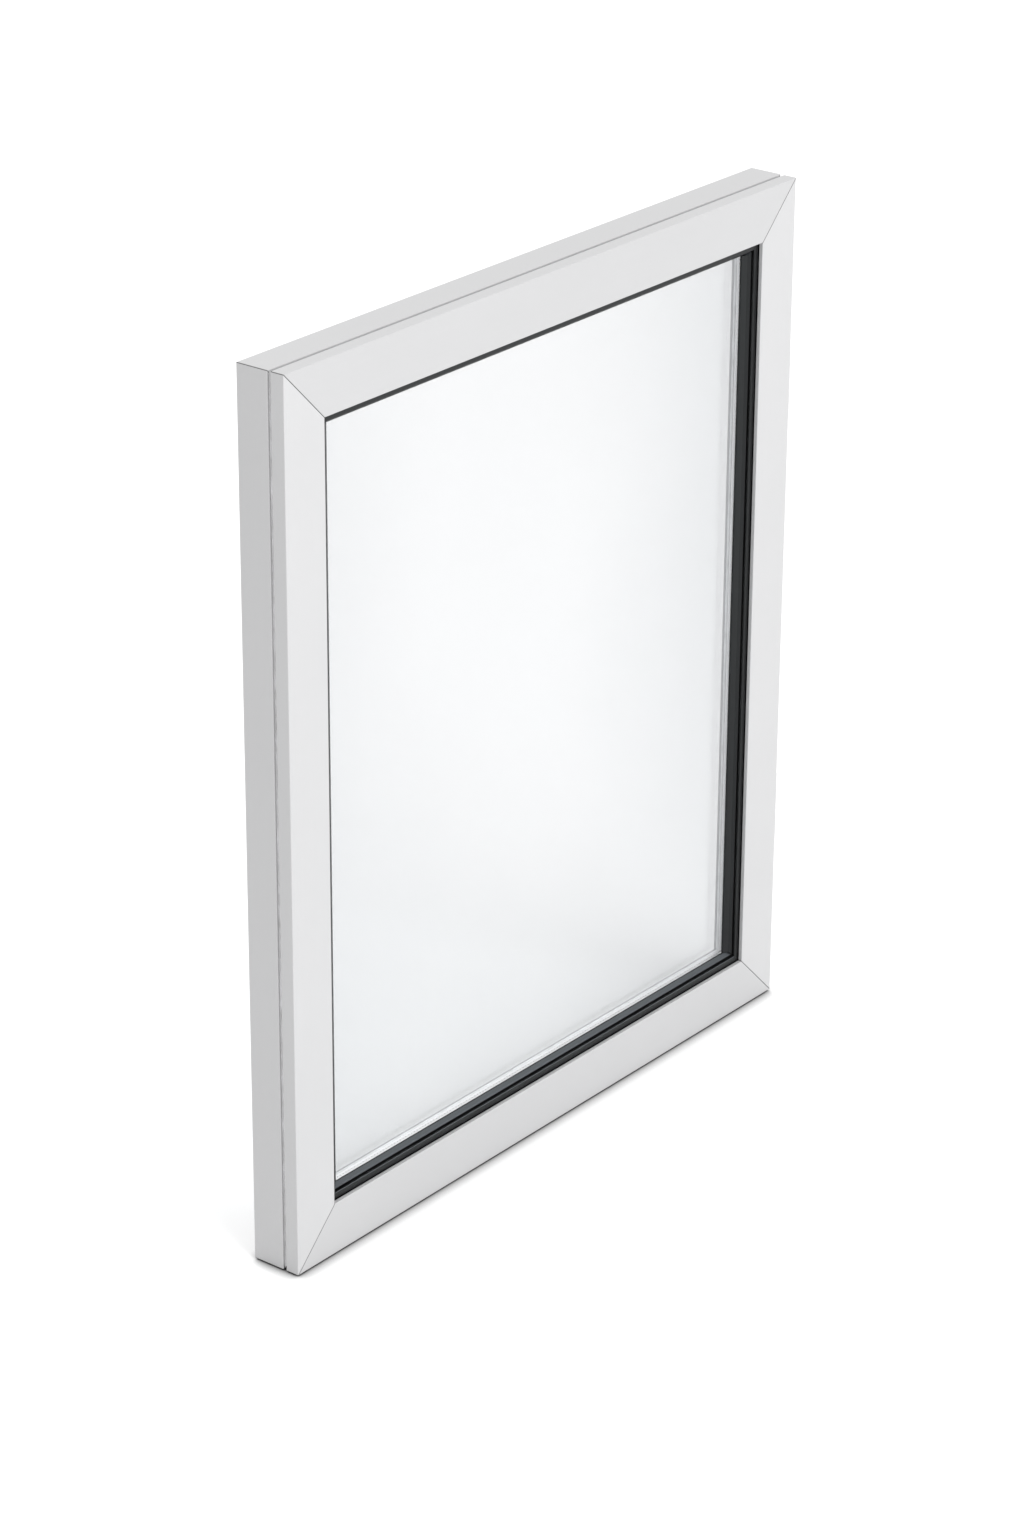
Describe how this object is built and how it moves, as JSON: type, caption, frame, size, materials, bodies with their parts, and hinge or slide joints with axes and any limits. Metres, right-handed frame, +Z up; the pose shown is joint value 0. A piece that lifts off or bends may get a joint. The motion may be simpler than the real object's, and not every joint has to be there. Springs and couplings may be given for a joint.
{
  "type": "casement window",
  "caption": "Outward-opening side-hung casement window: mitred leaf lapping a hollow metal frame, sealed double glazing, barrel hinges, sliding limiter stay and a rack-driven lock.",
  "frame": {"origin": "middle of the sill's flat underside, half-way between the leaf's outside face and the frame's room face", "axes": "+Z up, +Y from outside into the room, +X to the right as seen from outside (the hinge side)"},
  "size_m": [0.9135, 0.09, 1.05],
  "materials": {
    "coated_aluminium": "satin powder coat, fine texture",
    "bare_aluminium": "mill finish",
    "grey_seal": "matt extruded rubber",
    "light_gasket": "matt extruded rubber",
    "black_rubber": "matt extruded rubber",
    "black_bead": "extruded, satin",
    "clear_glass": "polished",
    "spacer_aluminium": "satin",
    "sealant": "matt",
    "nylon": "moulded",
    "coated_hardware": "satin powder coat",
    "handle_finish": "satin powder coat",
    "cast_zinc": "die cast",
    "bright_steel": "zinc plated"
  },
  "bodies": {
    "frame": {"frame_corner_cleats": "bare_aluminium", "frame_head": "coated_aluminium", "frame_inner_seal": "black_rubber", "frame_left_jamb": "coated_aluminium", "frame_outer_seal": "grey_seal", "frame_right_jamb": "coated_aluminium", "frame_sill": "coated_aluminium", "hinge_frame_screws": "bright_steel", "keep_screws": "bright_steel", "lower_hinge_frame_wing": "coated_hardware", "lower_hinge_pin": "bright_steel", "lower_keep": "bright_steel", "middle_keep": "bright_steel", "stay_track": "bright_steel", "stay_track_screws": "bright_steel", "upper_hinge_frame_wing": "coated_hardware", "upper_hinge_pin": "bright_steel", "upper_keep": "bright_steel"},
    "leaf": {"edge_sealant": "sealant", "handle_base": "handle_finish", "handle_screws": "bright_steel", "hinge_bushes": "nylon", "hinge_leaf_screws": "bright_steel", "inner_glazing_gasket": "light_gasket", "inner_pane": "clear_glass", "leaf_bottom_rail": "coated_aluminium", "leaf_corner_cleats": "bare_aluminium", "leaf_hinge_stile": "coated_aluminium", "leaf_lock_stile": "coated_aluminium", "leaf_top_rail": "coated_aluminium", "lock_case": "cast_zinc", "lower_hinge_leaf_wing": "coated_hardware", "outer_glazing_bead_bottom": "black_bead", "outer_glazing_bead_left": "black_bead", "outer_glazing_bead_right": "black_bead", "outer_glazing_bead_top": "black_bead", "outer_glazing_gasket": "black_rubber", "outer_pane": "clear_glass", "setting_blocks": "nylon", "spacer_bar": "spacer_aluminium", "stay_bracket_screws": "bright_steel", "stay_leaf_bracket": "bright_steel", "stay_leaf_rivet": "bright_steel", "upper_hinge_leaf_wing": "coated_hardware"},
    "handle": {"handle_lever": "handle_finish", "handle_spindle": "bright_steel", "lock_pinion": "bright_steel"},
    "lock_rail": {"drive_rail": "bright_steel", "cam_rollers": "bright_steel"},
    "stay_arm": {"stay_arm": "bright_steel"},
    "stay_slider": {"stay_slider": "bright_steel"}
  },
  "joints": [
    {"name": "leaf_swing", "type": "hinge", "parent": "frame", "child": "leaf", "pos_m": [0.457, -0.003, 0], "axis": [0, 0, 1], "range_deg": [0, 80]},
    {"name": "handle_turn", "type": "hinge", "parent": "leaf", "child": "handle", "pos_m": [-0.4, 0.018, 0.525], "axis": [0, 1, 0], "range_deg": [0, 90]},
    {"name": "lock_rail_slide", "type": "slide", "parent": "leaf", "child": "lock_rail", "axis": [0, 0, 1], "range_m": [0, 0.01414]},
    {"name": "stay_arm_turn", "type": "hinge", "parent": "leaf", "child": "stay_arm", "pos_m": [0.207, -0.003, 0.0276], "axis": [0, 0, 1], "range_deg": [-160, 0]},
    {"name": "stay_slider_turn", "type": "hinge", "parent": "stay_arm", "child": "stay_slider", "pos_m": [-0.043, -0.003, 0.0226], "axis": [0, 0, 1], "range_deg": [0, 80]}
  ],
  "couplings": [
    {"joint": "lock_rail_slide", "follows": "handle_turn", "m_per_rad": 0.009},
    {"joint": "stay_arm_turn", "follows": "leaf_swing", "ratio": -2},
    {"joint": "stay_slider_turn", "follows": "leaf_swing", "ratio": 1}
  ]
}
